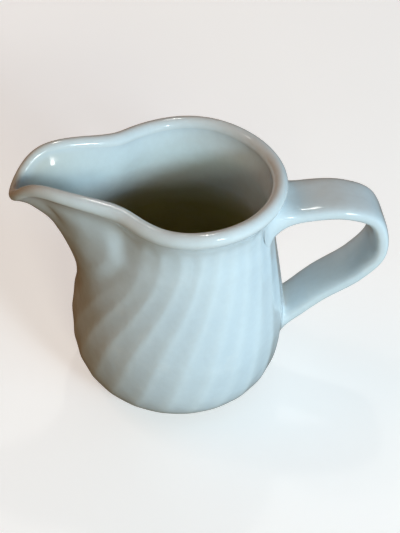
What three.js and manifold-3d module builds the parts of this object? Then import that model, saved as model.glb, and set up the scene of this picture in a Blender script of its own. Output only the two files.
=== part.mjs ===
// Porcelain cream jug: a swirl-fluted bulb with an applied spout, a rolled lip and a strap handle.
// Millimetres, +Z up. The spout points along -X and the handle along +X.
// The origin lies under the middle of the jug's box, on the surface that the jug stands on.

import * as THREE from "three";
import { mergeVertices } from "three/addons/utils/BufferGeometryUtils.js";
import Module from "manifold-3d";

const wasm = await Module();
wasm.setup();

// Bulb: radii and heights of the outside, on the jug's own axis.
const FOOT_HEIGHT = 2.6;
const FOOT_OUTER_RADIUS = 22.3;
const FOOT_INNER_RADIUS = 18.2;
const FOOT_DRAFT = 0.4;
const BASE_RADIUS = 22.5;
const BELLY_RADIUS = 40;
const BELLY_HEIGHT = 29;
const NECK_RADIUS = 30.9;
const NECK_HEIGHT = 84.1;
const WALL_TOP_RADIUS = 32;
const WALL_TOP_HEIGHT = 88.5;
const WALL = 2.4;

// Length of each curve handle on the bulb's outline.
const BASE_REACH = 16.5;
const BELLY_FALL = 15;
const BELLY_RISE = 14.3;
const NECK_FALL = 14.7;
const NECK_RISE = 1.9;

// Rolled lip, before the spout is pulled out of it.
const RIM_RADIUS = 32.2;
const RIM_HEIGHT = 89;
const LIP_RADIUS = 2.7;
const LIP_RADIUS_ON_SPOUT = 1.85;

// The rim line as the spout leaves it: degrees from the spout, radius and height of the lip's centre.
const RIM_LINE = [
  [0, 58.3, 83.9],
  [9, 53.4, 91.2],
  [18, 45.2, 93.4],
  [28, 36.9, 92.2],
  [40, 31.5, 91],
  [54, 30.7, 90.1],
  [72, 32, 89.3],
  [100, 33.2, 89.8],
  [140, 32.8, 90],
  [180, 32.8, 90],
];

// The pull fades out down the wall: where it starts, and how it grows with height.
const PULL_START = 42.5;
const PULL_OUT_POWER = 1.79;
const PULL_UP_POWER = 1.57;

// Spout tongue: the applied piece's outline on the front of the bulb.
const TONGUE_HALF_WIDTH = 22.4;
const TONGUE_HALF_WIDTH_AT_RIM = 19.4;
const TONGUE_CENTRE_HEIGHT = 73;
const TONGUE_DROP = 20.5;
const TONGUE_RELIEF = 0.9;
const PRISM_NEAR = -8;
const PRISM_FAR = -70;
const PRISM_TOP = 104;

// Swirl flutes. A ridge leans by LEAN_MEAN degrees per millimetre of height, more under the spout.
const FLUTES = 27;
const FLUTE_DEPTH = 0.5;
const FLUTE_SHARPNESS = 1.4;
const FLUTE_PHASE = THREE.MathUtils.degToRad(-109.4);
const FLUTE_PHASE_HEIGHT = 50;
const FLUTE_BOTTOM = 5;
const FLUTE_TOP = 75;
const FLUTE_FADE = 8;
const LEAN_MEAN = THREE.MathUtils.degToRad(0.45);
const LEAN_SWING = THREE.MathUtils.degToRad(0.3);

// Handle: centre line in the XZ plane, from the rim end to the belly end.
const HANDLE_LINE = [
  [31, 76.1],
  [42.7, 79.3],
  [57.3, 79.7],
  [67.9, 75.1],
  [71.8, 60.8],
  [65.2, 50.2],
  [51.8, 39.4],
  [38.4, 25.3],
];
const STRAP_HALF_WIDTH_AT_RIM = 10.6;
const STRAP_HALF_WIDTH_AT_BELLY = 8.8;
const STRAP_HALF_THICKNESS = 2.9;
const STRAP_SQUARENESS = 0.6;

// Slip fillets that lute the strap to the bulb: how far each runs along the strap, the middle and
// the half-size of its footprint on the bulb, and how strongly it leaves the bulb and the strap.
const UPPER_JOINT = { run: 0.12, height: 77, halfAngle: 33, halfHeight: 10.5, onBulb: 6, onStrap: 7 };
const LOWER_JOINT = { run: 0.11, height: 27, halfAngle: 16, halfHeight: 8.5, onBulb: 3, onStrap: 5 };
const FOOTPRINT_SQUARENESS = 0.85;
const JOINT_ROOT_DEPTH = 0.6;

// Clearance between touching pieces.
const GAP = 0.3;

// Reach of the spout and of the handle from the jug's axis, which set where the axis stands.
const SPOUT_REACH = 60.15;
const HANDLE_REACH = 74.75;
const AXIS_X = (SPOUT_REACH - HANDLE_REACH) / 2;

// Facets: rings around the bulb are a whole number per flute, so that each ridge is an edge.
const FACETS_PER_FLUTE = 4;
const BULB_FACETS = FLUTES * FACETS_PER_FLUTE;
const BULB_ROWS = 14;
const INNER_ROWS = 7;
const LIP_FACETS = 84;
const LIP_SIDES = 8;
const STRAP_SIDES = 20;
const STRAP_STEPS = 20;
const JOINT_STEPS = 5;
const FOOT_FACETS = 60;

const { clamp, degToRad, lerp, radToDeg, smoothstep } = THREE.MathUtils;
const point = (r, z) => new THREE.Vector2(r, z);

// Smooth value between the stations of a table [position, values...], level at both ends.
function alongStations(stations, position, column) {
  const last = stations.length - 1;
  const slope = (i) => {
    if (i === 0 || i === last) return 0;
    const [before, after] = [stations[i - 1], stations[i + 1]];
    return (after[column] - before[column]) / (after[0] - before[0]);
  };
  let i = 0;
  while (i < last - 1 && position > stations[i + 1][0]) i += 1;
  const [from, to] = [stations[i], stations[i + 1]];
  const span = to[0] - from[0];
  const t = clamp((position - from[0]) / span, 0, 1);
  const ease = t * t * (3 - 2 * t);
  const leave = t * (1 - t) * (1 - t) * span * slope(i);
  const arrive = t * t * (t - 1) * span * slope(i + 1);
  return lerp(from[column], to[column], ease) + leave + arrive;
}

const degreesFromSpout = (angle) => 180 - Math.abs(radToDeg(Math.atan2(Math.sin(angle), Math.cos(angle))));
const rimRadius = (angle) => alongStations(RIM_LINE, degreesFromSpout(angle), 1);
const rimHeight = (angle) => alongStations(RIM_LINE, degreesFromSpout(angle), 2);

// How much of the spout a bearing has: 1 at the tip and 0 away from the spout.
const spoutShare = (angle) => clamp((rimRadius(angle) - RIM_RADIUS) / (RIM_LINE[0][1] - RIM_RADIUS), 0, 1);

// Outside of the bulb from the base to the top of the wall.
const bulbOutline = new THREE.CurvePath();
bulbOutline.add(
  new THREE.CubicBezierCurve(
    point(BASE_RADIUS, FOOT_HEIGHT),
    point(BASE_RADIUS + BASE_REACH, FOOT_HEIGHT),
    point(BELLY_RADIUS, BELLY_HEIGHT - BELLY_FALL),
    point(BELLY_RADIUS, BELLY_HEIGHT),
  ),
);
bulbOutline.add(
  new THREE.CubicBezierCurve(
    point(BELLY_RADIUS, BELLY_HEIGHT),
    point(BELLY_RADIUS, BELLY_HEIGHT + BELLY_RISE),
    point(NECK_RADIUS, NECK_HEIGHT - NECK_FALL),
    point(NECK_RADIUS, NECK_HEIGHT),
  ),
);
bulbOutline.add(
  new THREE.CubicBezierCurve(
    point(NECK_RADIUS, NECK_HEIGHT),
    point(NECK_RADIUS, NECK_HEIGHT + NECK_RISE),
    point(WALL_TOP_RADIUS, WALL_TOP_HEIGHT - NECK_RISE),
    point(WALL_TOP_RADIUS, WALL_TOP_HEIGHT),
  ),
);

// Points of the outline moved outwards by a distance, or inwards where it is negative.
function outlineMoved(rows, distance) {
  return Array.from({ length: rows + 1 }, (_, i) => {
    const along = i / rows;
    const tangent = bulbOutline.getTangentAt(along);
    const outwards = point(tangent.y, -tangent.x);
    return bulbOutline.getPointAt(along).addScaledVector(outwards, distance);
  });
}

const outsideSamples = outlineMoved(200, 0);

// Radius of the plain bulb at a height.
function bulbRadius(z) {
  const above = outsideSamples.findIndex((sample) => sample.y > z);
  if (above === -1) return WALL_TOP_RADIUS;
  const [low, high] = [outsideSamples[Math.max(above - 1, 0)], outsideSamples[above]];
  return lerp(low.x, high.x, clamp((z - low.y) / (high.y - low.y || 1), 0, 1));
}

const leanPerMillimetre = (angle) => LEAN_MEAN - LEAN_SWING * Math.cos(angle);

// Where a point of the plain bulb, given by bearing, radius and height, ends up on the finished jug.
function shaped(angle, radius, z, fluted) {
  const leaned = angle + leanPerMillimetre(angle) * (z - FLUTE_PHASE_HEIGHT);
  const share = fluted ? smoothstep(z, FLUTE_BOTTOM, FLUTE_BOTTOM + FLUTE_FADE) : 0;
  const fade = share * (1 - smoothstep(z, FLUTE_TOP - FLUTE_FADE, FLUTE_TOP));
  const wave = Math.abs(Math.sin((FLUTES / 2) * (angle - FLUTE_PHASE)));
  const carved = radius - fade * FLUTE_DEPTH * wave ** FLUTE_SHARPNESS;
  const pull = clamp((z - PULL_START) / (RIM_HEIGHT - PULL_START), 0, 1);
  const out = (rimRadius(leaned) - RIM_RADIUS) * pull ** PULL_OUT_POWER;
  const up = (rimHeight(leaned) - RIM_HEIGHT) * pull ** PULL_UP_POWER;
  const finalRadius = radius === 0 ? 0 : carved + out;
  return new THREE.Vector3(finalRadius * Math.cos(leaned), finalRadius * Math.sin(leaned), z + up);
}

// A geometry with every vertex moved by place(vertex), closed by merging its shared vertices.
function reshape(geometry, place) {
  const position = geometry.attributes.position;
  const vertex = new THREE.Vector3();
  for (let i = 0; i < position.count; i += 1) {
    vertex.fromBufferAttribute(position, i);
    position.setXYZ(i, ...place(vertex));
  }
  geometry.deleteAttribute("normal");
  geometry.deleteAttribute("uv");
  return mergeVertices(geometry, 1e-4);
}

function solid(geometry) {
  const vertProperties = geometry.attributes.position.array;
  const triVerts = geometry.index.array;
  return new wasm.Manifold(
    new wasm.Mesh({
      numProp: 3,
      vertProperties: new Float32Array(vertProperties),
      triVerts: new Uint32Array(triVerts),
    }),
  );
}

// A turned body from an outline of radius and height, each vertex then moved by shaped().
function turned(outline, facets, place) {
  const lathe = new THREE.LatheGeometry(outline, facets);
  lathe.rotateX(Math.PI / 2);
  return reshape(lathe, (vertex) => {
    const radius = Math.hypot(vertex.x, vertex.y);
    const isOnAxis = radius < 1e-6;
    return place(isOnAxis ? 0 : Math.atan2(vertex.y, vertex.x), isOnAxis ? 0 : radius, vertex.z);
  });
}

// The thrown wall: outside going up, inside coming down, closed across the floor.
function thrownWall(relief) {
  const outside = outlineMoved(BULB_ROWS, relief);
  const inside = outlineMoved(INNER_ROWS, -WALL).reverse();
  const outline = [point(0, FOOT_HEIGHT), ...outside, ...inside, point(0, FOOT_HEIGHT + WALL)];
  const geometry = turned(outline, BULB_FACETS, (angle, radius, z) => {
    const isOutside = radius > bulbRadius(z) - WALL / 2;
    return shaped(angle, radius, z, isOutside && relief === 0);
  });
  return solid(geometry);
}

// The bulb without its hollow, grown by a distance, to trim what leans against it.
function bulbBlank(growth) {
  const outline = [point(0, FOOT_HEIGHT - growth), ...outlineMoved(BULB_ROWS, growth)];
  outline.push(point(0, WALL_TOP_HEIGHT + growth));
  return solid(turned(outline, BULB_FACETS, (angle, radius, z) => shaped(angle, radius, z, true)));
}

// A prism through the front wall in the outline of the spout tongue, grown by a distance.
function tonguePrism(growth) {
  const halfWidth = TONGUE_HALF_WIDTH + growth;
  const halfWidthAtRim = TONGUE_HALF_WIDTH_AT_RIM + growth;
  const outline = new THREE.Shape();
  outline.moveTo(halfWidthAtRim, PRISM_TOP);
  outline.lineTo(-halfWidthAtRim, PRISM_TOP);
  outline.lineTo(-halfWidthAtRim, RIM_HEIGHT);
  outline.lineTo(-halfWidth, TONGUE_CENTRE_HEIGHT);
  outline.absellipse(0, TONGUE_CENTRE_HEIGHT, halfWidth, TONGUE_DROP + growth, Math.PI, 2 * Math.PI, false, 0);
  outline.lineTo(halfWidthAtRim, RIM_HEIGHT);
  const depth = PRISM_NEAR - PRISM_FAR;
  const prism = new THREE.ExtrudeGeometry(outline, { depth, bevelEnabled: false, curveSegments: 24 });
  return solid(reshape(prism, ({ x, y, z }) => [PRISM_FAR + z, x, y]));
}

// Centre of the lip at a bearing.
function rimPoint(angle) {
  const radius = rimRadius(angle);
  return new THREE.Vector3(radius * Math.cos(angle), radius * Math.sin(angle), rimHeight(angle));
}

// The rolled lip: a torus laid along the rim line and thinned on the spout, grown by a distance.
function rolledLip(growth) {
  const step = 0.01;
  const torus = new THREE.TorusGeometry(RIM_RADIUS, LIP_RADIUS, LIP_SIDES, LIP_FACETS);
  const geometry = reshape(torus, ({ x, y, z }) => {
    const angle = Math.atan2(y, x);
    const along = rimPoint(angle + step).sub(rimPoint(angle - step)).normalize();
    const outwards = new THREE.Vector3().crossVectors(along, new THREE.Vector3(0, 0, 1)).normalize();
    const upwards = new THREE.Vector3().crossVectors(outwards, along);
    const size = lerp(LIP_RADIUS, LIP_RADIUS_ON_SPOUT, spoutShare(angle)) + growth;
    return rimPoint(angle)
      .addScaledVector(outwards, (size * (Math.hypot(x, y) - RIM_RADIUS)) / LIP_RADIUS)
      .addScaledVector(upwards, (size * z) / LIP_RADIUS);
  });
  return solid(geometry);
}

const handleLine = new THREE.CatmullRomCurve3(HANDLE_LINE.map(([x, z]) => new THREE.Vector3(x, 0, z)));

const rounded = (value, squareness) => Math.sign(value) * Math.abs(value) ** squareness;

// A point of the strap: how far along its centre line, and where on its section (1 is the skin).
function strapPoint(along, theta, inset) {
  const tangent = handleLine.getTangentAt(along);
  const outwards = new THREE.Vector3(-tangent.z, 0, tangent.x);
  const halfWidth = lerp(STRAP_HALF_WIDTH_AT_RIM, STRAP_HALF_WIDTH_AT_BELLY, along);
  const place = handleLine.getPointAt(along);
  place.y = inset * halfWidth * rounded(Math.cos(theta), STRAP_SQUARENESS);
  return place.addScaledVector(outwards, inset * STRAP_HALF_THICKNESS * rounded(Math.sin(theta), STRAP_SQUARENESS));
}

// A tube closed at both ends, its skin placed by place(along, theta, inset) with along from 0 to 1.
function bentTube(steps, place) {
  const cylinder = new THREE.CylinderGeometry(1, 1, 1, STRAP_SIDES, steps);
  return solid(reshape(cylinder, ({ x, y, z }) => place(y + 0.5, Math.atan2(-z, x), Math.min(Math.hypot(x, z), 1))));
}

function handleStrap() {
  const gap = GAP / handleLine.getLength();
  const [start, end] = [UPPER_JOINT.run + gap, 1 - LOWER_JOINT.run - gap];
  return bentTube(STRAP_STEPS, (along, theta, inset) => strapPoint(lerp(start, end, along), theta, inset));
}

// A point of a fillet: t runs from its footprint on the bulb to its seat on the strap.
function filletPoint(joint, seat, towardsBulb, t, theta) {
  const across = rounded(Math.cos(theta), FOOTPRINT_SQUARENESS);
  const upwards = -towardsBulb * rounded(Math.sin(theta), FOOTPRINT_SQUARENESS);
  const angle = degToRad(joint.halfAngle) * across;
  const height = joint.height + joint.halfHeight * upwards;
  const radius = bulbRadius(height) - JOINT_ROOT_DEPTH;
  const foot = new THREE.Vector3(radius * Math.cos(angle), radius * Math.sin(angle), height);
  const slope = bulbRadius(height + 1) - bulbRadius(height);
  const inwards = new THREE.Vector3(Math.sin(angle) * across, -Math.cos(angle) * across, 0);
  inwards.add(new THREE.Vector3(-upwards * slope, 0, -upwards)).multiplyScalar(joint.onBulb);
  const onStrap = strapPoint(seat, theta, 1);
  const tangent = handleLine.getTangentAt(seat).multiplyScalar(towardsBulb * joint.onStrap);
  const curve = new THREE.CubicBezierCurve3(foot, foot.clone().add(inwards), onStrap.clone().add(tangent), onStrap);
  return curve.getPoint(t);
}

// One fillet between the bulb and an end of the strap, trimmed to fit the bulb and the lip.
function handleJoint(joint, seat, towardsBulb) {
  const tube = bentTube(JOINT_STEPS, (along, theta, inset) => {
    const t = towardsBulb < 0 ? along : 1 - along;
    const skin = filletPoint(joint, seat, towardsBulb, t, theta);
    const middle = filletPoint(joint, seat, towardsBulb, t, Math.PI / 2);
    middle.add(filletPoint(joint, seat, towardsBulb, t, -Math.PI / 2)).multiplyScalar(0.5);
    return middle.lerp(skin, inset);
  });
  return tube.subtract(bulbBlank(GAP)).subtract(rolledLip(GAP));
}

function footRing() {
  const top = FOOT_HEIGHT - GAP;
  const outline = [
    point(FOOT_INNER_RADIUS, top),
    point(FOOT_INNER_RADIUS + FOOT_DRAFT, 0),
    point(FOOT_OUTER_RADIUS - FOOT_DRAFT, 0),
    point(FOOT_OUTER_RADIUS, top),
    point(FOOT_INNER_RADIUS, top),
  ];
  return solid(turned(outline, FOOT_FACETS, (angle, r, z) => [r * Math.cos(angle), r * Math.sin(angle), z]));
}

function glaze(color, roughness) {
  return new THREE.MeshStandardMaterial({ color, roughness, metalness: 0 });
}

const jug = new THREE.Group();
jug.position.x = AXIS_X;

function addPiece(name, manifold, material) {
  const { vertProperties, triVerts } = manifold.getMesh();
  const geometry = new THREE.BufferGeometry();
  geometry.setAttribute("position", new THREE.BufferAttribute(vertProperties, 3));
  geometry.setIndex(new THREE.BufferAttribute(triVerts, 1));
  geometry.computeVertexNormals();
  const mesh = new THREE.Mesh(geometry, material);
  mesh.name = name;
  jug.add(mesh);
}

const lipClearance = rolledLip(GAP);
addPiece("jug_body", thrownWall(0).subtract(tonguePrism(GAP / 2)).subtract(lipClearance), glaze(0xd3e3ea, 0.12));
addPiece(
  "pouring_spout",
  thrownWall(TONGUE_RELIEF).intersect(tonguePrism(-GAP / 2)).subtract(lipClearance),
  glaze(0xc3cdcf, 0.12),
);
addPiece("rim_lip", rolledLip(0), glaze(0xd6e6ee, 0.1));
addPiece("handle_strap", handleStrap(), glaze(0xd0e2e8, 0.12));
addPiece("upper_handle_joint", handleJoint(UPPER_JOINT, UPPER_JOINT.run, -1), glaze(0xd0e2e8, 0.12));
addPiece("lower_handle_joint", handleJoint(LOWER_JOINT, 1 - LOWER_JOINT.run, 1), glaze(0xd0e2e8, 0.12));
addPiece("foot_ring", footRing(), glaze(0xe8e2d6, 0.7));

export default jug;
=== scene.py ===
"""Porcelain cream jug: swirl-fluted bulb, applied spout, rolled lip and strap handle, in a studio."""

import math

import bpy
import numpy as np
from mathutils import Matrix, Vector


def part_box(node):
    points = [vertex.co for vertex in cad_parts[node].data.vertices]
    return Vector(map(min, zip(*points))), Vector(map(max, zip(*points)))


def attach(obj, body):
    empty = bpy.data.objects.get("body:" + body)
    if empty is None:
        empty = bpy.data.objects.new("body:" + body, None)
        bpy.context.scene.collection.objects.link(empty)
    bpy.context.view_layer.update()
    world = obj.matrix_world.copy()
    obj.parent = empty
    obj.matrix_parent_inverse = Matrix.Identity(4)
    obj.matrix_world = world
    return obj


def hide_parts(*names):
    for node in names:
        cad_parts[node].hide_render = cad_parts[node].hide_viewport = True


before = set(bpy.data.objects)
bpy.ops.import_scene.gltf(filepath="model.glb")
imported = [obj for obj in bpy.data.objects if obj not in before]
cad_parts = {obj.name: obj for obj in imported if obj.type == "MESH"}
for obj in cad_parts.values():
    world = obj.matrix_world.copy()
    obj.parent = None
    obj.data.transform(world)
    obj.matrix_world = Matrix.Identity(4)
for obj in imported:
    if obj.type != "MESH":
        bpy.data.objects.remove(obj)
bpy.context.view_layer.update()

# --------------------------------------------------
# Sizes, in millimetres on the jug's own axis. They are the CAD model's, with the fine detail added.
# --------------------------------------------------
MM = 0.001
BASE_HEIGHT = 2.6
BASE_RADIUS = 22.5
BELLY_RADIUS = 40.0
BELLY_HEIGHT = 29.0
NECK_RADIUS = 30.9
NECK_HEIGHT = 84.1
WALL_TOP_RADIUS = 32.0
WALL_TOP_HEIGHT = 88.5
WALL = 2.4
BASE_REACH = 16.5
BELLY_FALL = 15.0
BELLY_RISE = 14.3
NECK_FALL = 14.7
NECK_RISE = 1.9

RIM_RADIUS = 32.2
RIM_HEIGHT = 89.0
LIP_RADIUS = 2.7
LIP_RADIUS_ON_SPOUT = 1.85
# Degrees from the spout, then the radius and height of the lip's centre.
RIM_LINE = [
    (0, 58.3, 83.9),
    (9, 53.4, 91.2),
    (18, 45.2, 93.4),
    (28, 36.9, 92.2),
    (40, 31.5, 91.0),
    (54, 30.7, 90.1),
    (72, 32.0, 89.3),
    (100, 33.2, 89.8),
    (140, 32.8, 90.0),
    (180, 32.8, 90.0),
]
PULL_START = 42.5
PULL_OUT_POWER = 1.79
PULL_UP_POWER = 1.57

# Spout tongue: half-width across the jug, the height where it is widest, and how far it drops. The
# pairs are distances inside its outline where something starts and ends, or heights for the melt.
TONGUE_HALF_WIDTH = 22.4
TONGUE_HALF_WIDTH_AT_RIM = 19.4
TONGUE_CENTRE_HEIGHT = 73.0
TONGUE_DROP = 20.5
TONGUE_RELIEF = 1.25
TONGUE_RISE = (-1.68, 3.78)
TONGUE_CREASE = 0.3
TONGUE_CREASE_AT = -2.31
TONGUE_CREASE_WIDTH = 2.1
TONGUE_CLEARING = (-13.44, -0.84)
TONGUE_MELT = (52.0, 67.0)

# Flutes: nearly flat facets between soft ridges. A ridge leans by LEAN_MEAN per millimetre of height,
# more under the spout.
FLUTES = 27
FLUTE_DEPTH = 0.26
FLUTE_ROUNDING = 0.32
FLUTE_PHASE = math.radians(-110.2)
FLUTE_BOTTOM = 4.0
FLUTE_TOP = 86.0
FLUTE_FADE = 8.0
FLUTE_ARCH = 2.0
LEAN_MEAN = math.radians(0.45)
LEAN_SWING = math.radians(0.3)
LEAN_PASSES = 5
# Height, then the height at which an evenly leaning ridge would have swung as far: the ridges swing
# slowly on the belly, faster above it, and stand upright at the neck.
SWIRL_LINE = [
    (0, -50.0),
    (20, -31.5),
    (40, -12.5),
    (50, 0.0),
    (65, 18.7),
    (74, 24.6),
    (80, 25.6),
    (96, 25.6),
]

# Fillets between the lip and the wall, and the length of wall that bends to meet them. The outer one
# starts where the wall stands at FLARE_HEIGHT, outwards of the lip's centre: at least so many
# millimetres and at most such a share of the lip's radius. The inner one starts at such a share.
FILLET_OUTSIDE = 14.0
FILLET_INSIDE = 2.0
MEET_LENGTH = 10.0
FLARE_HEIGHT = 80.0
LINE_OUTSIDE_LEAST = -1.7
LINE_OUTSIDE_MOST = 0.75
LINE_INSIDE = -0.97
# Short steps in bearing and in height that directions are measured over.
RIM_TURN = 1e-3
WALL_TOP_STEP = 2.0
SKIN_TURN = 2e-3
SKIN_STEP = 0.1
STRAP_STEP = 1e-3

# Handle centre line in the XZ plane, from the rim to the belly.
HANDLE_LINE = [
    (31.0, 76.1),
    (42.7, 79.3),
    (57.3, 79.7),
    (67.9, 75.1),
    (71.8, 60.8),
    (65.2, 50.2),
    (51.8, 39.4),
    (38.4, 25.3),
]
STRAP_HALF_WIDTH_AT_RIM = 10.6
STRAP_HALF_WIDTH_AT_BELLY = 8.8
STRAP_HALF_THICKNESS = 2.9
STRAP_SQUARENESS = 0.6
STRAP_HOLLOW = 0.25
# Slip fillets: the share of the handle's line that each covers, the middle and half size of its
# footprint, and how far it first follows the bulb and the strap.
UPPER_JOINT = dict(run=0.12, height=77.0, half_angle=33.0, half_height=10.5, on_bulb=6.0, on_strap=7.0)
LOWER_JOINT = dict(run=0.11, height=27.0, half_angle=16.0, half_height=8.5, on_bulb=3.0, on_strap=5.0)
FOOTPRINT_SQUARENESS = 0.85
# How far a footprint is sunk into the bulb, and how far off the bulb the fillet's other end stays.
FOOTPRINT_DEPTH = 0.05
FILLET_CLEARANCE = 0.02
# Shares of a slip fillet over which its shading leaves the bulb's, and turns into the strap's.
SHADING_LEAVES = (0.0, 0.3)
SHADING_ARRIVES = (0.8, 1.0)

# Rows that close the underside and the floor inside.
POLE_RADII = (5.0, 10.0, 15.0, 19.0)
UNDERSIDE_DOME = 0.5

# Foot ring: waisted outside where it leaves the bulb, rounded where it meets the table. Each pair is
# the distance outwards of the ring's inner or outer radius, and the height.
FOOT_OUTER_RADIUS = 22.3
FOOT_INNER_RADIUS = 18.2
FOOT_INNER_LINE = [(-0.6, 2.62), (-0.1, 2.1), (0.1, 1.2), (0.35, 0.45), (0.8, 0.06), (1.4, 0.0)]
FOOT_OUTER_LINE = [(-1.4, 0.0), (-0.8, 0.06), (-0.35, 0.45), (-0.15, 1.2), (-0.05, 1.9), (0.2, 2.62)]

# Mesh density.
FACETS_PER_FLUTE = 16
COLUMNS = FLUTES * FACETS_PER_FLUTE
WALL_ROWS = 110
INNER_ROWS = 56
FILLET_ROWS = 14
INNER_FILLET_ROWS = 5
LIP_ROWS = 22
STRAP_SIDES = 72
STRAP_STEPS = 150
JOINT_STEPS = 26
FOOT_COLUMNS = 192
# Samples that curves are measured on, which are finer than the mesh.
SAMPLES_PER_CURVE = 1500
SAMPLES_PER_SPAN = 300
SAMPLES_OF_HANDLE = 2000
SAMPLES_OF_SECTION = 8000

AXIS = (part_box("foot_ring")[0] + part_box("foot_ring")[1]) / 2
AXIS_X = AXIS[0] / MM


# --------------------------------------------------
# Curves
# --------------------------------------------------
def smoothstep(value, low, high):
    t = np.clip((value - low) / (high - low), 0.0, 1.0)
    return t * t * (3.0 - 2.0 * t)


def polar(radius, bearing, z):
    """Points at a radius, a bearing and a height."""
    return np.stack(np.broadcast_arrays(radius * np.cos(bearing), radius * np.sin(bearing), z), -1)


def clamped_spline(positions, values):
    """A smooth function through stations that is level at both ends."""
    x = np.asarray(positions, float)
    y = np.asarray(values, float)
    step = np.diff(x)
    system = np.zeros((len(x), len(x)))
    right = np.zeros(len(x))
    system[0, 0] = system[-1, -1] = 1.0
    for i in range(1, len(x) - 1):
        system[i, i - 1] = 1.0 / step[i - 1]
        system[i, i] = 2.0 / step[i - 1] + 2.0 / step[i]
        system[i, i + 1] = 1.0 / step[i]
        right[i] = 3.0 * ((y[i] - y[i - 1]) / step[i - 1] ** 2 + (y[i + 1] - y[i]) / step[i] ** 2)
    slope = np.linalg.solve(system, right)

    def value(at):
        at = np.clip(at, x[0], x[-1])
        i = np.clip(np.searchsorted(x, at, side="right") - 1, 0, len(x) - 2)
        span = step[i]
        t = (at - x[i]) / span
        ease = t * t * (3.0 - 2.0 * t)
        leave = t * (1.0 - t) ** 2 * span * slope[i]
        arrive = t * t * (t - 1.0) * span * slope[i + 1]
        return y[i] + (y[i + 1] - y[i]) * ease + leave + arrive

    return value


def bezier(points, t):
    a, b, c, d = (np.asarray(p, float) for p in points)
    t = np.asarray(t, float)[..., None]
    s = 1.0 - t
    return s**3 * a + 3 * s * s * t * b + 3 * s * t * t * c + t**3 * d


def travelled(points):
    """The share of a line's whole length that is passed at each of its points."""
    length = np.r_[0.0, np.cumsum(np.linalg.norm(np.diff(points, axis=0), axis=1))]
    return length / length[-1]


def by_length(samples):
    """A function of 0 to 1 that runs along the samples at an even pace."""
    share = travelled(samples)

    def at(value):
        return np.stack([np.interp(value, share, samples[:, k]) for k in range(samples.shape[1])], -1)

    return at


def bulb_outline():
    """Radius and height up the outside: from the base to the belly, the neck and the wall's top."""
    base, belly = (BASE_RADIUS, BASE_HEIGHT), (BELLY_RADIUS, BELLY_HEIGHT)
    neck, top = (NECK_RADIUS, NECK_HEIGHT), (WALL_TOP_RADIUS, WALL_TOP_HEIGHT)
    spans = [
        (base, (BASE_RADIUS + BASE_REACH, BASE_HEIGHT), (BELLY_RADIUS, BELLY_HEIGHT - BELLY_FALL), belly),
        (belly, (BELLY_RADIUS, BELLY_HEIGHT + BELLY_RISE), (NECK_RADIUS, NECK_HEIGHT - NECK_FALL), neck),
        (neck, (NECK_RADIUS, NECK_HEIGHT + NECK_RISE), (WALL_TOP_RADIUS, WALL_TOP_HEIGHT - NECK_RISE), top),
    ]
    fine = np.linspace(0.0, 1.0, SAMPLES_PER_CURVE)
    return np.concatenate([bezier(span, fine)[(k > 0):] for k, span in enumerate(spans)])


OUTLINE = bulb_outline()
OUTLINE_TANGENT = np.gradient(OUTLINE, axis=0)
OUTLINE_TANGENT /= np.linalg.norm(OUTLINE_TANGENT, axis=1)[:, None]
INSIDE = OUTLINE + WALL * np.stack([-OUTLINE_TANGENT[:, 1], OUTLINE_TANGENT[:, 0]], 1)

RIM_TABLE = np.array(RIM_LINE, float)
rim_radius_at = clamped_spline(RIM_TABLE[:, 0], RIM_TABLE[:, 1])
rim_height_at = clamped_spline(RIM_TABLE[:, 0], RIM_TABLE[:, 2])


def degrees_from_spout(bearing):
    return 180.0 - np.abs(np.degrees(np.arctan2(np.sin(bearing), np.cos(bearing))))


def rim_point(bearing):
    away = degrees_from_spout(bearing)
    return polar(rim_radius_at(away), bearing, rim_height_at(away))


def spout_share(bearing):
    radius = rim_radius_at(degrees_from_spout(bearing))
    return np.clip((radius - RIM_RADIUS) / (RIM_LINE[0][1] - RIM_RADIUS), 0.0, 1.0)


def bulb_radius(z):
    return np.interp(z, OUTLINE[:, 1], OUTLINE[:, 0])


# --------------------------------------------------
# The jug's skin
# --------------------------------------------------
def tongue_inset(bearing, z):
    """Distance inside the tongue's outline, in millimetres; negative outside it."""
    across = bulb_radius(z) * np.abs(np.sin(bearing))
    climb = np.clip((z - TONGUE_CENTRE_HEIGHT) / (RIM_HEIGHT - TONGUE_CENTRE_HEIGHT), 0.0, 1.0)
    half_width = TONGUE_HALF_WIDTH + (TONGUE_HALF_WIDTH_AT_RIM - TONGUE_HALF_WIDTH) * climb
    drop = np.maximum(TONGUE_CENTRE_HEIGHT - z, 0.0) / TONGUE_DROP
    reach = np.sqrt((across / half_width) ** 2 + drop**2)
    inset = (1.0 - reach) * half_width
    return np.where(np.cos(bearing) < 0.0, inset, -TONGUE_HALF_WIDTH)


swirl_at = clamped_spline(*zip(*SWIRL_LINE))


def lean(bearing, z):
    return (LEAN_MEAN - LEAN_SWING * np.cos(bearing)) * swirl_at(z)


def pulled(bearing, radius, z, relief):
    """The plain bulb's point with the spout pulled out of it."""
    pull = np.clip((z - PULL_START) / (RIM_HEIGHT - PULL_START), 0.0, 1.0)
    away = degrees_from_spout(bearing)
    out = (rim_radius_at(away) - RIM_RADIUS) * pull**PULL_OUT_POWER
    up = (rim_height_at(away) - RIM_HEIGHT) * pull**PULL_UP_POWER
    final = radius + out + relief * (1.0 - pull**PULL_OUT_POWER * spout_share(bearing))
    return polar(final, bearing, z + up)


def flute_wave(bearing):
    """0 on a ridge, 1 in the middle of a flute."""
    arch = np.sin(FLUTES / 2.0 * (bearing - FLUTE_PHASE))
    soft = FLUTE_ROUNDING
    return (np.sqrt(arch**2 + soft**2) - soft) / (math.sqrt(1.0 + soft**2) - soft)


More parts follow.
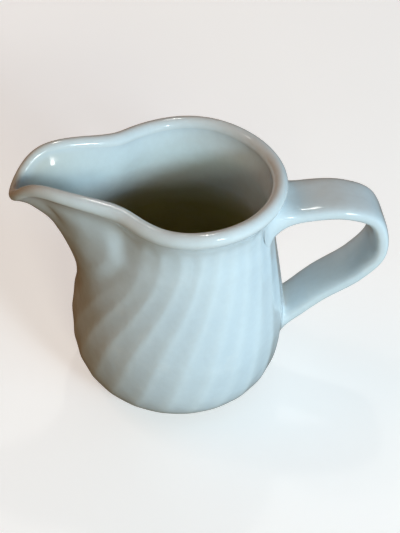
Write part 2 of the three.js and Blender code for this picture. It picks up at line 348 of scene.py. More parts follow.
def tongue_relief(inset, z):
    """How far the applied tongue stands off the bulb: a soft edge with a crease beside it."""
    raised = TONGUE_RELIEF * smoothstep(inset, *TONGUE_RISE)
    crease = TONGUE_CREASE * np.exp(-(((inset - TONGUE_CREASE_AT) / TONGUE_CREASE_WIDTH) ** 2))
    return (raised - crease) * smoothstep(z, *TONGUE_MELT)


def flute_depth(start_bearing, radius, z, inset):
    """How far the skin lies under the bulb's own surface. start_bearing names the ridge line."""
    wave = flute_wave(start_bearing)
    arch = FLUTE_ARCH * (1.0 - wave)
    top = 1.0 - smoothstep(z, FLUTE_TOP - FLUTE_FADE - arch, FLUTE_TOP - arch)
    bottom = smoothstep(z, FLUTE_BOTTOM, FLUTE_BOTTOM + FLUTE_FADE)
    clear = 1.0 - smoothstep(inset, *TONGUE_CLEARING)
    return FLUTE_DEPTH * radius / BELLY_RADIUS * top * bottom * clear * wave


def outside_point(start_bearing, radius, z):
    """A point of the outer skin. start_bearing is where its ridge line has not swung yet."""
    bearing = start_bearing + lean(start_bearing, z)
    inset = tongue_inset(bearing, z)
    depth = flute_depth(start_bearing, radius, z, inset)
    return pulled(bearing, radius - depth, z, tongue_relief(inset, z))


def unit(vectors):
    return vectors / np.linalg.norm(vectors, axis=-1, keepdims=True)


def dot(a, b):
    return np.sum(a * b, axis=-1)


def disc_rows(ring, height, dome):
    """Rings inside another one, from the middle outwards."""
    radius = np.array(POLE_RADII)[:, None]
    bearing = np.arctan2(ring[:, 1], ring[:, 0])
    return polar(radius, bearing, height + dome * (1.0 - (radius / BASE_RADIUS) ** 2))


class Skin:
    """The whole vessel as one grid: rows from the base up the outside, over the lip and down inside."""

    def __init__(self):
        start = np.arange(COLUMNS) * 2.0 * math.pi / COLUMNS + FLUTE_PHASE
        top_bearing = start + lean(start, WALL_TOP_HEIGHT)
        centre = rim_point(top_bearing)
        along = unit(rim_point(top_bearing + RIM_TURN) - rim_point(top_bearing - RIM_TURN))
        high, low = (
            pulled(top_bearing, np.full(COLUMNS, WALL_TOP_RADIUS), np.full(COLUMNS, height), 0.0)
            for height in (WALL_TOP_HEIGHT, WALL_TOP_HEIGHT - WALL_TOP_STEP)
        )
        upwards = high - low
        upwards = unit(upwards - dot(upwards, along)[:, None] * along)
        outwards = unit(np.cross(along, upwards))
        share = spout_share(top_bearing)
        size = LIP_RADIUS + (LIP_RADIUS_ON_SPOUT - LIP_RADIUS) * share
        neck = np.full(COLUMNS, FLARE_HEIGHT)
        relief = tongue_relief(tongue_inset(top_bearing, neck), neck)
        neck_points = pulled(top_bearing, bulb_radius(neck), neck, relief)
        line_out = dot(neck_points - centre, outwards)
        line_out = np.clip(line_out, LINE_OUTSIDE_LEAST, LINE_OUTSIDE_MOST * size)
        line_in = LINE_INSIDE * size
        self.frame = (centre, along, outwards, upwards)
        self.radial = polar(1.0, top_bearing, 0.0)

        lip, fall_out, fall_in = self.lip_rows(start, top_bearing, size, line_out, -line_in)
        outer = self.wall_rows(start, line_out, fall_out)
        inner = self.inner_rows(top_bearing, line_in, fall_in)
        self.points = np.concatenate([outer, lip, inner[::-1]])
        self.wall_top = len(outer)
        self.outer_top = len(outer) + FILLET_ROWS
        self.inner_top = len(outer) + len(lip) - 1 - INNER_FILLET_ROWS
        self.measure(top_bearing)
        self.add_discs()

    def place(self, a, b):
        centre, _, outwards, upwards = self.frame
        return centre + a[..., None] * outwards + b[..., None] * upwards

    def lip_rows(self, start, bearing, size, line_out, line_in):
        """Fillet, rolled lip and inner fillet as rows, and how far below the centre they start."""
        fall_out = -np.sqrt((size + FILLET_OUTSIDE) ** 2 - (line_out + FILLET_OUTSIDE) ** 2)
        fall_in = -np.sqrt((size + FILLET_INSIDE) ** 2 - (line_in + FILLET_INSIDE) ** 2)
        seat_out = np.arctan2(fall_out, line_out + FILLET_OUTSIDE)
        seat_in = np.arctan2(fall_in, line_in + FILLET_INSIDE)
        rows, self.fillet_depth = [], []
        inset = tongue_inset(bearing, RIM_HEIGHT)
        for t in np.linspace(0.0, 1.0, FILLET_ROWS + 1)[:-1]:
            turn = math.pi + t * seat_out
            a = line_out + FILLET_OUTSIDE + FILLET_OUTSIDE * np.cos(turn)
            b = fall_out + FILLET_OUTSIDE * np.sin(turn)
            depth = flute_depth(start, NECK_RADIUS, RIM_HEIGHT + b, inset)
            rows.append(self.place(a, b) - depth[:, None] * self.radial)
            self.fillet_depth.append(depth)
        for t in np.linspace(0.0, 1.0, LIP_ROWS + 1):
            turn = seat_out + t * (math.pi - seat_in - seat_out)
            rows.append(self.place(size * np.cos(turn), size * np.sin(turn)))
        for t in np.linspace(1.0, 0.0, INNER_FILLET_ROWS + 1)[1:]:
            turn = math.pi + t * seat_in
            a = line_in + FILLET_INSIDE + FILLET_INSIDE * np.cos(turn)
            rows.append(self.place(-a, fall_in + FILLET_INSIDE * np.sin(turn)))
        return np.array(rows), fall_out, fall_in

    def meet(self, points, z, line, fall):
        """Bend the wall's last rows so that they arrive on the lip's own line."""
        top = RIM_HEIGHT + fall
        blend = smoothstep(z, top - MEET_LENGTH, top)
        blend[-1] = 1.0
        centre, along, outwards, upwards = self.frame
        offset = points - centre
        a = dot(offset, outwards) * (1.0 - blend) + line * blend
        b = dot(offset, upwards)
        b = b + (fall - b[-1]) * blend
        c = dot(offset, along) * (1.0 - blend)
        return centre + a[..., None] * outwards + b[..., None] * upwards + c[..., None] * along

    @staticmethod
    def climb(outline, rows, fall):
        """Radius and height of each row, evenly spaced from the base to where the lip's fillet starts."""
        share_top = np.interp(RIM_HEIGHT + fall, outline[:, 1], travelled(outline))
        pace = np.linspace(0.0, 1.0, rows)[:, None]
        flat = by_length(outline)((pace * share_top[None, :]).ravel()).reshape(rows, COLUMNS, 2)
        return flat[..., 0], flat[..., 1]

    def wall_rows(self, start, line, fall):
        radius, z = self.climb(OUTLINE, WALL_ROWS, fall)
        bearing = start[None, :] + lean(start[None, :], z)
        self.wall_inset = tongue_inset(bearing, z)
        self.wall_depth = flute_depth(start[None, :], radius, z, self.wall_inset)
        smooth = pulled(bearing, radius, z, tongue_relief(self.wall_inset, z))
        inwards = -self.wall_depth[..., None] * polar(1.0, bearing, 0.0)
        return (self.meet(smooth, z, line, fall) + inwards)[:-1]

    def inner_rows(self, bearing, line, fall):
        radius, z = self.climb(INSIDE, INNER_ROWS, fall)
        self.inner_height = z
        return self.meet(pulled(np.broadcast_to(bearing, z.shape), radius, z, 0.0), z, line, fall)[:-1]

    def measure(self, top_bearing):
        """For every vertex its tongue inset and flute depth."""
        rows = len(self.points)
        at_rim = tongue_inset(top_bearing, RIM_HEIGHT)
        self.inset = np.empty((rows, COLUMNS))
        self.inset[: self.wall_top] = self.wall_inset[:-1]
        near_lip = np.linspace(0.0, 1.0, FILLET_ROWS)[:, None]
        fillet_inset = self.wall_inset[-1] * (1.0 - near_lip) + at_rim * near_lip
        self.inset[self.wall_top : self.outer_top] = fillet_inset
        self.inset[self.outer_top : -len(self.inner_height) + 1] = at_rim
        inner = tongue_inset(np.broadcast_to(top_bearing, self.inner_height.shape), self.inner_height)
        self.inset[-len(self.inner_height) + 1 :] = inner[:-1][::-1]
        self.depth = np.zeros((rows, COLUMNS))
        self.depth[: self.wall_top] = self.wall_depth[:-1]
        self.depth[self.wall_top : self.outer_top] = self.fillet_depth

    def add_discs(self):
        """Rows under the base and on the floor, which leave only a small hole in the middle of each."""
        under = disc_rows(self.points[0], BASE_HEIGHT, UNDERSIDE_DOME)
        floor = disc_rows(self.points[-1], BASE_HEIGHT + WALL, 0.0)[::-1]
        self.points = np.concatenate([under, self.points, floor])
        margins = ((len(under), len(floor)), (0, 0))
        self.inset = np.pad(self.inset, margins, constant_values=-TONGUE_HALF_WIDTH)
        self.depth = np.pad(self.depth, margins)
        self.outer_top += len(under)
        self.inner_top += len(under)

    def shell(self):
        """The vertices with their normals, and how deep each lies in a flute and down the inside."""
        points = self.points
        across = np.roll(points, -1, axis=1) - np.roll(points, 1, axis=1)
        normals = unit(np.cross(across, np.gradient(points, axis=0)))
        drop = (points[self.inner_top, :, 2] - points[:, :, 2]) / (RIM_HEIGHT - BASE_HEIGHT - WALL)
        is_inside = np.arange(len(points))[:, None] >= self.inner_top
        details = np.stack([self.depth / FLUTE_DEPTH, np.where(is_inside, drop, 0.0)], -1)
        return Shell(points.reshape(-1, 3), normals.reshape(-1, 3), details.reshape(-1, 2))


# --------------------------------------------------
# Mesh building
# --------------------------------------------------
class Shell:
    """Vertices that pieces share, each with a shading normal and what the glaze has to know there."""

    def __init__(self, points, normals, details):
        self.points = list(points)
        self.normals = list(normals)
        self.details = list(details)

    def add(self, point, normal, detail):
        self.points.append(point)
        self.normals.append(normal)
        self.details.append(detail)
        return len(self.points) - 1

    def between(self, a, b, share):
        tables = (self.points, self.normals, self.details)
        point, normal, detail = ((1.0 - share) * table[a] + share * table[b] for table in tables)
        return self.add(point, normal / np.linalg.norm(normal), detail)


def grid_triangles(first_row, last_row, columns=COLUMNS):
    rows = np.arange(first_row, last_row)[:, None]
    here = np.arange(columns)[None, :]
    after = (here + 1) % columns
    a, b = rows * columns + here, rows * columns + after
    c, d = a + columns, b + columns
    return np.concatenate([np.stack([a, b, d], -1).reshape(-1, 3), np.stack([a, d, c], -1).reshape(-1, 3)])


def split(shell, triangles, field):
    """Triangles where the field is positive, where it is not, the cut between them and its vertices."""
    positive = field[triangles] > 0.0
    count = positive.sum(axis=1)
    inside = [tuple(t) for t in triangles[count == 3]]
    outside = [tuple(t) for t in triangles[count == 0]]
    crossings, cut = {}, []

    def crossing(a, b):
        key = (min(a, b), max(a, b))
        if key not in crossings:
            share = field[key[0]] / (field[key[0]] - field[key[1]])
            crossings[key] = shell.between(key[0], key[1], share)
        return crossings[key]

    for t in triangles[(count == 1) | (count == 2)]:
        t = [int(v) for v in t]
        signs = [field[v] > 0.0 for v in t]
        lone = signs.index(sum(signs) == 1)
        a, b, c = t[lone], t[(lone + 1) % 3], t[(lone + 2) % 3]
        ab, ca = crossing(a, b), crossing(c, a)
        own, other = (inside, outside) if signs[lone] else (outside, inside)
        own.append((a, ab, ca))
        other.extend([(ab, b, c), (ab, c, ca)])
        cut.append((ab, ca))
    return inside, outside, cut, crossings


def chain(segments, start):
    """The cut's vertices in order from its start."""
    neighbours = {}
    for a, b in segments:
        neighbours.setdefault(a, []).append(b)
        neighbours.setdefault(b, []).append(a)
    order, last = [start], None
    while True:
        onward = [v for v in neighbours[order[-1]] if v != last]
        if not onward:
            return order
        last = order[-1]
        order.append(onward[0])


def zip_between(shell, first, second):
    """A strip of triangles between two chains of vertices that run side by side."""
    paces = [travelled([shell.points[v] for v in line]) for line in (first, second)]
    i = j = 0
    strip = []
    while i < len(first) - 1 or j < len(second) - 1:
        can_first = i < len(first) - 1
        if can_first and (j == len(second) - 1 or paces[0][i + 1] <= paces[1][j + 1]):
            strip.append((first[i], first[i + 1], second[j]))
            i += 1
        else:
            strip.append((first[i], second[j + 1], second[j]))
            j += 1
    return strip


def facing_like(skin_triangles, strip, edge):
    """The strip turned so that it closes the skin: their common edge runs opposite ways."""
    runs = {(t[k], t[(k + 1) % 3]) for t in skin_triangles for k in range(3)}
    strip_runs = {(t[k], t[(k + 1) % 3]) for t in strip for k in range(3)}
    same_way = (edge in runs) == (edge in strip_runs)
    return [tuple(reversed(t)) for t in strip] if same_way else strip


def make_piece(name, shell, smooth, flat, node, material):
    """A mesh object in metres that stands for a CAD node. Its flat triangles shade as flat faces."""
    triangles = np.array(list(smooth) + list(flat), dtype=np.int64)
    used, index = np.unique(triangles, return_inverse=True)
    index = index.reshape(-1, 3)
    points = np.array(shell.points)[used]
    normals = np.array(shell.normals)[used]
    details = np.array(shell.details)[used]
    mesh = bpy.data.meshes.new(name)
    mesh.vertices.add(len(points))
    mesh.vertices.foreach_set("co", ((points + (AXIS_X, 0.0, 0.0)) * MM).astype(np.float32).ravel())
    mesh.loops.add(index.size)
    mesh.loops.foreach_set("vertex_index", index.astype(np.int32).ravel())
    mesh.polygons.add(len(index))
    mesh.polygons.foreach_set("loop_start", np.arange(0, index.size, 3, dtype=np.int32))
    mesh.update(calc_edges=True)
    for column, label in enumerate(("groove", "depth_inside")):
        attribute = mesh.attributes.new(label, "FLOAT", "POINT")
        attribute.data.foreach_set("value", details[:, column].astype(np.float32))
    corner = normals[index].copy()
    if flat:
        side = points[index[len(smooth):]]
        face = unit(np.cross(side[:, 1] - side[:, 0], side[:, 2] - side[:, 0]) + 1e-12)
        corner[len(smooth):] = face[:, None, :]
    mesh.shade_smooth()
    mesh.normals_split_custom_set(corner.reshape(-1, 3).astype(np.float32))
    piece = bpy.data.objects.new(name, mesh)
    bpy.context.scene.collection.objects.link(piece)
    mesh.materials.append(material)
    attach(piece, "root")
    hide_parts(node)


# --------------------------------------------------
# Vessel: bulb, spout and lip are cut from one skin, so no seam shows between them
# --------------------------------------------------
def pole_fans(shell, rows):
    """Triangles that close the holes in the middle of the underside and of the floor."""
    low = shell.add(np.array([0, 0, BASE_HEIGHT + UNDERSIDE_DOME]), np.array([0, 0, -1.0]), np.zeros(2))
    high = shell.add(np.array([0, 0, BASE_HEIGHT + WALL]), np.array([0, 0, 1.0]), np.array([0, 1.0]))
    last = (rows - 1) * COLUMNS
    sides = [(j, (j + 1) % COLUMNS) for j in range(COLUMNS)]
    return [(low, b, a) for a, b in sides] + [(high, last + a, last + b) for a, b in sides]


def build_vessel(materials):
    skin = Skin()
    shell = skin.shell()
    rows = len(skin.points)
    fans = pole_fans(shell, rows)
    outer_top, inner_top = skin.outer_top, skin.inner_top
    field = skin.inset.ravel()
    spout_out, body_out, cut_out, cross_out = split(shell, grid_triangles(0, outer_top), field)
    spout_in, body_in, cut_in, cross_in = split(shell, grid_triangles(inner_top, rows - 1), field)

    def rim_crossings(crossings, row):
        found = {}
        for a, b in crossings:
            if a // COLUMNS == row and b // COLUMNS == row:
                found[(a % COLUMNS, b % COLUMNS)] = crossings[(a, b)]
        return found

    top_out, top_in = rim_crossings(cross_out, outer_top), rim_crossings(cross_in, inner_top)
    first_key = sorted(top_out)[0]
    seam_out = chain(cut_out, top_out[first_key])
    seam_in = chain(cut_in, top_in[first_key])
    side = zip_between(shell, seam_out, seam_in)

    def ledge(wanted):
        """The faces under the lip, between the outer and inner skins, where wanted(column) holds."""
        faces = []
        for j in range(COLUMNS):
            k = (j + 1) % COLUMNS
            outer = [outer_top * COLUMNS + j, outer_top * COLUMNS + k]
            inner = [inner_top * COLUMNS + j, inner_top * COLUMNS + k]
            key = (min(j, k), max(j, k))
            keep = [wanted(j), wanted(k)]
            if not any(keep):
                continue
            if not all(keep):
                gone = keep.index(False)
                outer[gone], inner[gone] = top_out[key], top_in[key]
            faces += [(outer[0], inner[0], inner[1]), (outer[0], inner[1], outer[1])]
        return faces

    at_rim = skin.inset[outer_top]
    edge = (seam_out[0], seam_out[1])
    body_skin = body_out + body_in
    spout_skin = spout_out + spout_in
    body_ledge = ledge(lambda j: at_rim[j] <= 0.0)
    spout_ledge = ledge(lambda j: at_rim[j] > 0.0)
    ring = [(outer_top * COLUMNS + j, outer_top * COLUMNS + (j + 1) % COLUMNS) for j in range(COLUMNS)]
    on_spout = [[at_rim[vertex % COLUMNS] > 0.0 for vertex in pair] for pair in ring]
    body_edge = next(pair for pair, raised in zip(ring, on_spout) if not any(raised))
    spout_edge = next(pair for pair, raised in zip(ring, on_spout) if all(raised))
    body_flat = facing_like(body_skin, side, edge) + facing_like(body_skin, body_ledge, body_edge)
    spout_flat = facing_like(spout_skin, side, edge) + facing_like(spout_skin, spout_ledge, spout_edge)
    make_piece("bulb", shell, body_skin + fans, body_flat, "jug_body", materials["bulb"])
    make_piece("spout", shell, spout_skin, spout_flat, "pouring_spout", materials["spout"])
    lip_skin = [tuple(int(v) for v in t) for t in grid_triangles(outer_top, inner_top)]
    lip_flat = facing_like(lip_skin, ledge(lambda j: True), ring[0])
    make_piece("lip", shell, lip_skin, lip_flat, "rim_lip", materials["lip"])


# --------------------------------------------------
# Handle: strap and the two slip fillets
# --------------------------------------------------
def centripetal(points, count):
    """Points at an even pace along a centripetal Catmull-Rom curve."""
    points = np.asarray(points, float)
    padded = np.vstack([2 * points[0] - points[1], points, 2 * points[-1] - points[-2]])
    samples = []
    for i in range(1, len(padded) - 2):
        before, start, end, after = padded[i - 1 : i + 3]
        gaps = [np.linalg.norm(b - a) ** 0.5 for a, b in ((before, start), (start, end), (end, after))]
        leave = (start - before) / gaps[0] - (end - before) / (gaps[0] + gaps[1]) + (end - start) / gaps[1]
        arrive = (end - start) / gaps[1] - (after - start) / (gaps[1] + gaps[2]) + (after - end) / gaps[2]
        leave, arrive = leave * gaps[1], arrive * gaps[1]
        t = np.linspace(0.0, 1.0, SAMPLES_PER_SPAN)[:, None]
        square, cube = -3 * start + 3 * end - 2 * leave - arrive, 2 * start - 2 * end + leave + arrive
        samples.append((start + leave * t + square * t**2 + cube * t**3)[(i > 1):])
    return by_length(np.concatenate(samples))(np.linspace(0.0, 1.0, count))


HANDLE = centripetal(HANDLE_LINE, SAMPLES_OF_HANDLE + 1)
HANDLE_TANGENT = unit(np.gradient(HANDLE, axis=0))


def powered(value, squareness):
    return np.sign(value) * np.abs(value) ** squareness


def even_section(half_width, half_thickness, count):
    """Angles that space points evenly round the strap's section."""
    turn = np.linspace(0.0, 2.0 * math.pi, SAMPLES_OF_SECTION + 1)
    x = half_width * powered(np.cos(turn), STRAP_SQUARENESS)
    y = half_thickness * powered(np.sin(turn), STRAP_SQUARENESS)
    return np.interp(np.arange(count) / count, travelled(np.stack([x, y], -1)), turn)


SECTION = even_section(STRAP_HALF_WIDTH_AT_RIM, STRAP_HALF_THICKNESS, STRAP_SIDES)


def handle_at(share):
    spot = share * SAMPLES_OF_HANDLE
    index = np.arange(SAMPLES_OF_HANDLE + 1)
    centre = np.stack([np.interp(spot, index, HANDLE[:, k]) for k in range(2)], -1)
    tangent = unit(np.stack([np.interp(spot, index, HANDLE_TANGENT[:, k]) for k in range(2)], -1))
    return centre, tangent


def strap_rows(shares):
    centre, tangent = handle_at(np.asarray(shares, float))
    half_width = STRAP_HALF_WIDTH_AT_RIM + (STRAP_HALF_WIDTH_AT_BELLY - STRAP_HALF_WIDTH_AT_RIM) * shares
    across = powered(np.cos(SECTION), STRAP_SQUARENESS)
    out = STRAP_HALF_THICKNESS * powered(np.sin(SECTION), STRAP_SQUARENESS)
    out = out - STRAP_HOLLOW * np.clip(np.sin(SECTION), 0.0, 1.0) * (1.0 - across**2)
    outwards = np.stack([-tangent[:, 1], tangent[:, 0]], -1)
    flat = centre[:, None, :] + out[None, :, None] * outwards[:, None, :]
    return np.stack([flat[..., 0], half_width[:, None] * across[None, :], flat[..., 1]], -1)


def on_bulb(bearing, z):
    """The outer skin's point at a bearing and height. The ridge line there is found step by step."""
    start = bearing
    for _ in range(LEAN_PASSES):
        start = bearing - lean(start, z)
    return outside_point(start, bulb_radius(z), z)


def bulb_normal(bearing, z):
    across = on_bulb(bearing + SKIN_TURN, z) - on_bulb(bearing - SKIN_TURN, z)
    up = on_bulb(bearing, z + SKIN_STEP) - on_bulb(bearing, z - SKIN_STEP)
    return unit(np.cross(across, up))


def tube_normals(rows):
    """Normals of a grid of closed rings, turned outwards, and the sign that this took."""
    around = np.roll(rows, -1, axis=1) - np.roll(rows, 1, axis=1)
    normals = unit(np.cross(around, np.gradient(rows, axis=0)))
    middle = rows.mean(axis=1, keepdims=True)
    outward = np.sign(dot(normals, rows - middle).mean())
    return normals * outward, outward


def make_tube(name, rows, normals, outward, node, material):
    """A closed piece from rings of points, with flat ends that its neighbours hide."""
    count = rows.shape[1]
    shell = Shell(rows.reshape(-1, 3), normals.reshape(-1, 3), np.zeros((rows.shape[0] * count, 2)))
    skin = [tuple(int(v) for v in t) for t in grid_triangles(0, len(rows) - 1, count)]
    ends = []
    for row, turned_over in ((0, True), (len(rows) - 1, False)):
        middle = shell.add(rows[row].mean(axis=0), normals[row, 0], np.zeros(2))
        for j in range(count):
            a, b = row * count + j, row * count + (j + 1) % count
            ends.append((middle, b, a) if turned_over else (middle, a, b))
    if outward < 0:
        skin = [tuple(reversed(t)) for t in skin]
        ends = [tuple(reversed(t)) for t in ends]
    make_piece(name, shell, skin, ends, node, material)


def fillet_rows(joint, seat, towards_bulb):
    """Rings from the fillet's footprint on the bulb to its seat on the strap, normals and their sign."""
    across = powered(np.cos(SECTION), FOOTPRINT_SQUARENESS)
    rise = -towards_bulb * powered(np.sin(SECTION), FOOTPRINT_SQUARENESS)
    bearing = math.radians(joint["half_angle"]) * across
    height = joint["height"] + joint["half_height"] * rise
    foot = on_bulb(bearing, height)
    normal = bulb_normal(bearing, height)
    centre = on_bulb(np.zeros(1), np.array([joint["height"]]))
    inwards = centre - foot
    inwards = inwards - dot(inwards, normal)[:, None] * normal
    inwards = unit(inwards) * joint["on_bulb"]
    seat_ring = strap_rows(np.array([seat]))[0]
    tangent = handle_at(np.array([seat]))[1][0] * towards_bulb * joint["on_strap"]
    on_strap = seat_ring + np.array([tangent[0], 0.0, tangent[1]])
    share = np.linspace(0.0, 1.0, JOINT_STEPS)
    guides = [foot, foot + inwards, on_strap, seat_ring]
    rows = np.array([bezier(guides, np.full(STRAP_SIDES, t)) for t in share])
    turn = np.arctan2(rows[..., 1], rows[..., 0])
    under = on_bulb(turn, rows[..., 2])
    low = np.hypot(under[..., 0], under[..., 1]) + FILLET_CLEARANCE * share[:, None]
    radius = np.maximum(np.hypot(rows[..., 0], rows[..., 1]), low)
    rows = polar(radius, turn, rows[..., 2])
    normals, outward = tube_normals(rows)
    own = smoothstep(share, *SHADING_LEAVES)[:, None, None]
    normals = unit(normals * own + normal[None] * (1.0 - own))
    end = strap_rows(np.array([seat - STRAP_STEP, seat, seat + STRAP_STEP]))
    end_normals = tube_normals(end)[0][1]
    near_end = smoothstep(share, *SHADING_ARRIVES)[:, None, None]
    normals = unit(normals * (1.0 - near_end) + end_normals[None] * near_end)
    rows[0] = rows[0] - FOOTPRINT_DEPTH * normal
    return rows, normals, outward


def build_handle(materials):
    start, end = UPPER_JOINT["run"], 1.0 - LOWER_JOINT["run"]
    rows = strap_rows(np.linspace(start, end, STRAP_STEPS))
    normals, outward = tube_normals(rows)
    make_tube("strap", rows, normals, outward, "handle_strap", materials["handle"])
    for name, joint, seat, towards, node in (
        ("upper_fillet", UPPER_JOINT, start, -1.0, "upper_handle_joint"),
        ("lower_fillet", LOWER_JOINT, end, 1.0, "lower_handle_joint"),
    ):
        rows, normals, outward = fillet_rows(joint, seat, towards)
        make_tube(name, rows, normals, outward, node, materials["handle"])


# --------------------------------------------------
# Foot ring
# --------------------------------------------------
def build_foot(materials):
    """A turned ring from its inner edge under the bulb to its outer one, closed on top."""
    inner = [(FOOT_INNER_RADIUS + out, z) for out, z in FOOT_INNER_LINE]
    outer = [(FOOT_OUTER_RADIUS + out, z) for out, z in FOOT_OUTER_LINE]
    outline = np.array(inner + outer)
    turn = np.arange(FOOT_COLUMNS) * 2.0 * math.pi / FOOT_COLUMNS
    rows = polar(outline[:, :1], turn, outline[:, 1:])
    along = np.gradient(outline, axis=0)
    level, rise = unit(np.stack([along[:, 1], -along[:, 0]], -1)).T[..., None]
    normals = polar(level, turn, rise)
    shell = Shell(rows.reshape(-1, 3), normals.reshape(-1, 3), np.zeros((rows.size // 3, 2)))
    skin = [tuple(int(v) for v in t) for t in grid_triangles(0, len(rows) - 1, FOOT_COLUMNS)]
    top = []
    last = (len(rows) - 1) * FOOT_COLUMNS
    for j in range(FOOT_COLUMNS):
        k = (j + 1) % FOOT_COLUMNS
        top += [(last + j, last + k, k), (last + j, k, j)]
    make_piece("foot", shell, skin, top, "foot_ring", materials["foot"])


# --------------------------------------------------
# Materials
# --------------------------------------------------
class Nodes:
    """A small writer for one node material."""

    def __init__(self, name):
        self.material = bpy.data.materials.new(name)
        self.material.use_nodes = True
        self.tree = self.material.node_tree
        self.tree.nodes.clear()
        self.output = self.tree.nodes.new("ShaderNodeOutputMaterial")

    def add(self, kind, **settings):
        node = self.tree.nodes.new("ShaderNode" + kind)
        for key, value in settings.items():
            setattr(node, key, value)
        return node

    def feed(self, socket, value):
        if isinstance(value, bpy.types.NodeSocket):
            self.tree.links.new(value, socket)
        else:
            socket.default_value = value

    def position(self):
        return self.add("TexCoord").outputs["Object"]

    def attribute(self, label):
        return self.add("Attribute", attribute_name=label).outputs["Fac"]

    def noise(self, scale, detail=2.0, roughness=0.5, distortion=0.0):
        node = self.add("TexNoise")
        self.feed(node.inputs["Vector"], self.position())
        node.inputs["Scale"].default_value = scale
        node.inputs["Detail"].default_value = detail
        node.inputs["Roughness"].default_value = roughness
        node.inputs["Distortion"].default_value = distortion
        return node.outputs["Fac"]

    def remap(self, value, low, high, to_low=0.0, to_high=1.0, smooth=True):
        node = self.add("MapRange", interpolation_type="SMOOTHSTEP" if smooth else "LINEAR")
        for socket, number in zip(node.inputs[:5], (value, low, high, to_low, to_high)):
            self.feed(socket, number)
        return node.outputs["Result"]

    def maths(self, operation, a, b=0.0):
        node = self.add("Math", operation=operation)
        self.feed(node.inputs[0], a)
        self.feed(node.inputs[1], b)
        return node.outputs["Value"]

    def mix(self, share, first, second, blend="MIX"):
        node = self.add("Mix", data_type="RGBA", blend_type=blend)
        self.feed(node.inputs["Factor"], share)
        self.feed(node.inputs[6], first)
        self.feed(node.inputs[7], second)
        return node.outputs[2]

    def ramp(self, value, stops):
        node = self.add("ValToRGB")
        self.feed(node.inputs["Fac"], value)
        elements = node.color_ramp.elements
        while len(elements) < len(stops):
            elements.new(0.5)
        for element, (place, colour) in zip(elements, stops):
            element.position = place
            element.color = (*colour, 1.0)
        return node.outputs["Color"]

    def bump(self, height, distance, normal=None):
        node = self.add("Bump")
        node.inputs["Strength"].default_value = 1.0
        node.inputs["Distance"].default_value = distance
        self.feed(node.inputs["Height"], height)
        if normal is not None:
            self.feed(node.inputs["Normal"], normal)
        return node.outputs["Normal"]

    def coordinate(self, axis):
        split_axes = self.add("SeparateXYZ")
        self.feed(split_axes.inputs[0], self.position())
        return split_axes.outputs[axis]

    def finish(self, colour, roughness, normal, **constants):
        shader = self.add("BsdfPrincipled")
        self.feed(shader.inputs["Base Color"], colour)
        self.feed(shader.inputs["Roughness"], roughness)
        self.feed(shader.inputs["Normal"], normal)
        for key, value in constants.items():
            shader.inputs[key.replace("_", " ")].default_value = value
        self.feed(self.output.inputs["Surface"], shader.outputs["BSDF"])
        return self.material


GLAZE_WHITE = (0.77, 0.855, 0.895)
GLAZE_POOLED = (0.70, 0.79, 0.845)
GLAZE_THIN = (0.87, 0.91, 0.91)
GLAZE_MOTTLE = (0.5, 0.52, 0.5)
GLAZE_SPECK = (0.3, 0.24, 0.16)
# Iron specks: cells per metre, a speck's core and edge as shares of a cell, and the share of cells
# that stay without one.
SPECK_CELLS = 95.0
SPECK_CORE = 0.012
SPECK_EDGE = 0.03
SPECK_FREE = (0.8, 0.86)
SPECK_STRENGTH = 0.5
# Painted warm reflection and shade at the spout's tip: what the glaze is multiplied by there, and where
# along the jug that starts and is full.
GLAZE_TIP_PAINTED_REFLECTION = (0.78, 0.70, 0.60)
TIP_FROM = (AXIS_X - 22.7) * MM
TIP_TO = (AXIS_X - 58.7) * MM
# Colour of the glaze inside, by the share of the way from the rim to the floor: painted light, lighter and
# bluer just under the rim, then painted shade, dark olive from about a third of the way down.
INSIDE_PAINTED_LIGHT_AND_SHADE = [
    (0.0, (0.80, 0.89, 0.93)),
    (0.15, (0.81, 0.95, 1.0)),
    (0.28, (0.82, 0.89, 0.91)),
    (0.36, (0.60, 0.60, 0.44)),
    (0.45, (0.45, 0.41, 0.17)),
    (1.0, (0.44, 0.40, 0.12)),
]


def specks(nodes):
    """A share that is high on a few small specks, in the middle of chosen cells."""
    cells = nodes.add("TexVoronoi", feature="F1")
    nodes.feed(cells.inputs["Vector"], nodes.position())
    cells.inputs["Scale"].default_value = SPECK_CELLS
    cells.inputs["Randomness"].default_value = 1.0
    near = nodes.remap(cells.outputs["Distance"], SPECK_CORE, SPECK_EDGE, 1.0, 0.0)
    chosen = nodes.add("SeparateXYZ")
    nodes.feed(chosen.inputs[0], cells.outputs["Color"])
    has_speck = nodes.remap(chosen.outputs["X"], *SPECK_FREE, 0.0, SPECK_STRENGTH)
    return nodes.maths("MULTIPLY", near, has_speck)


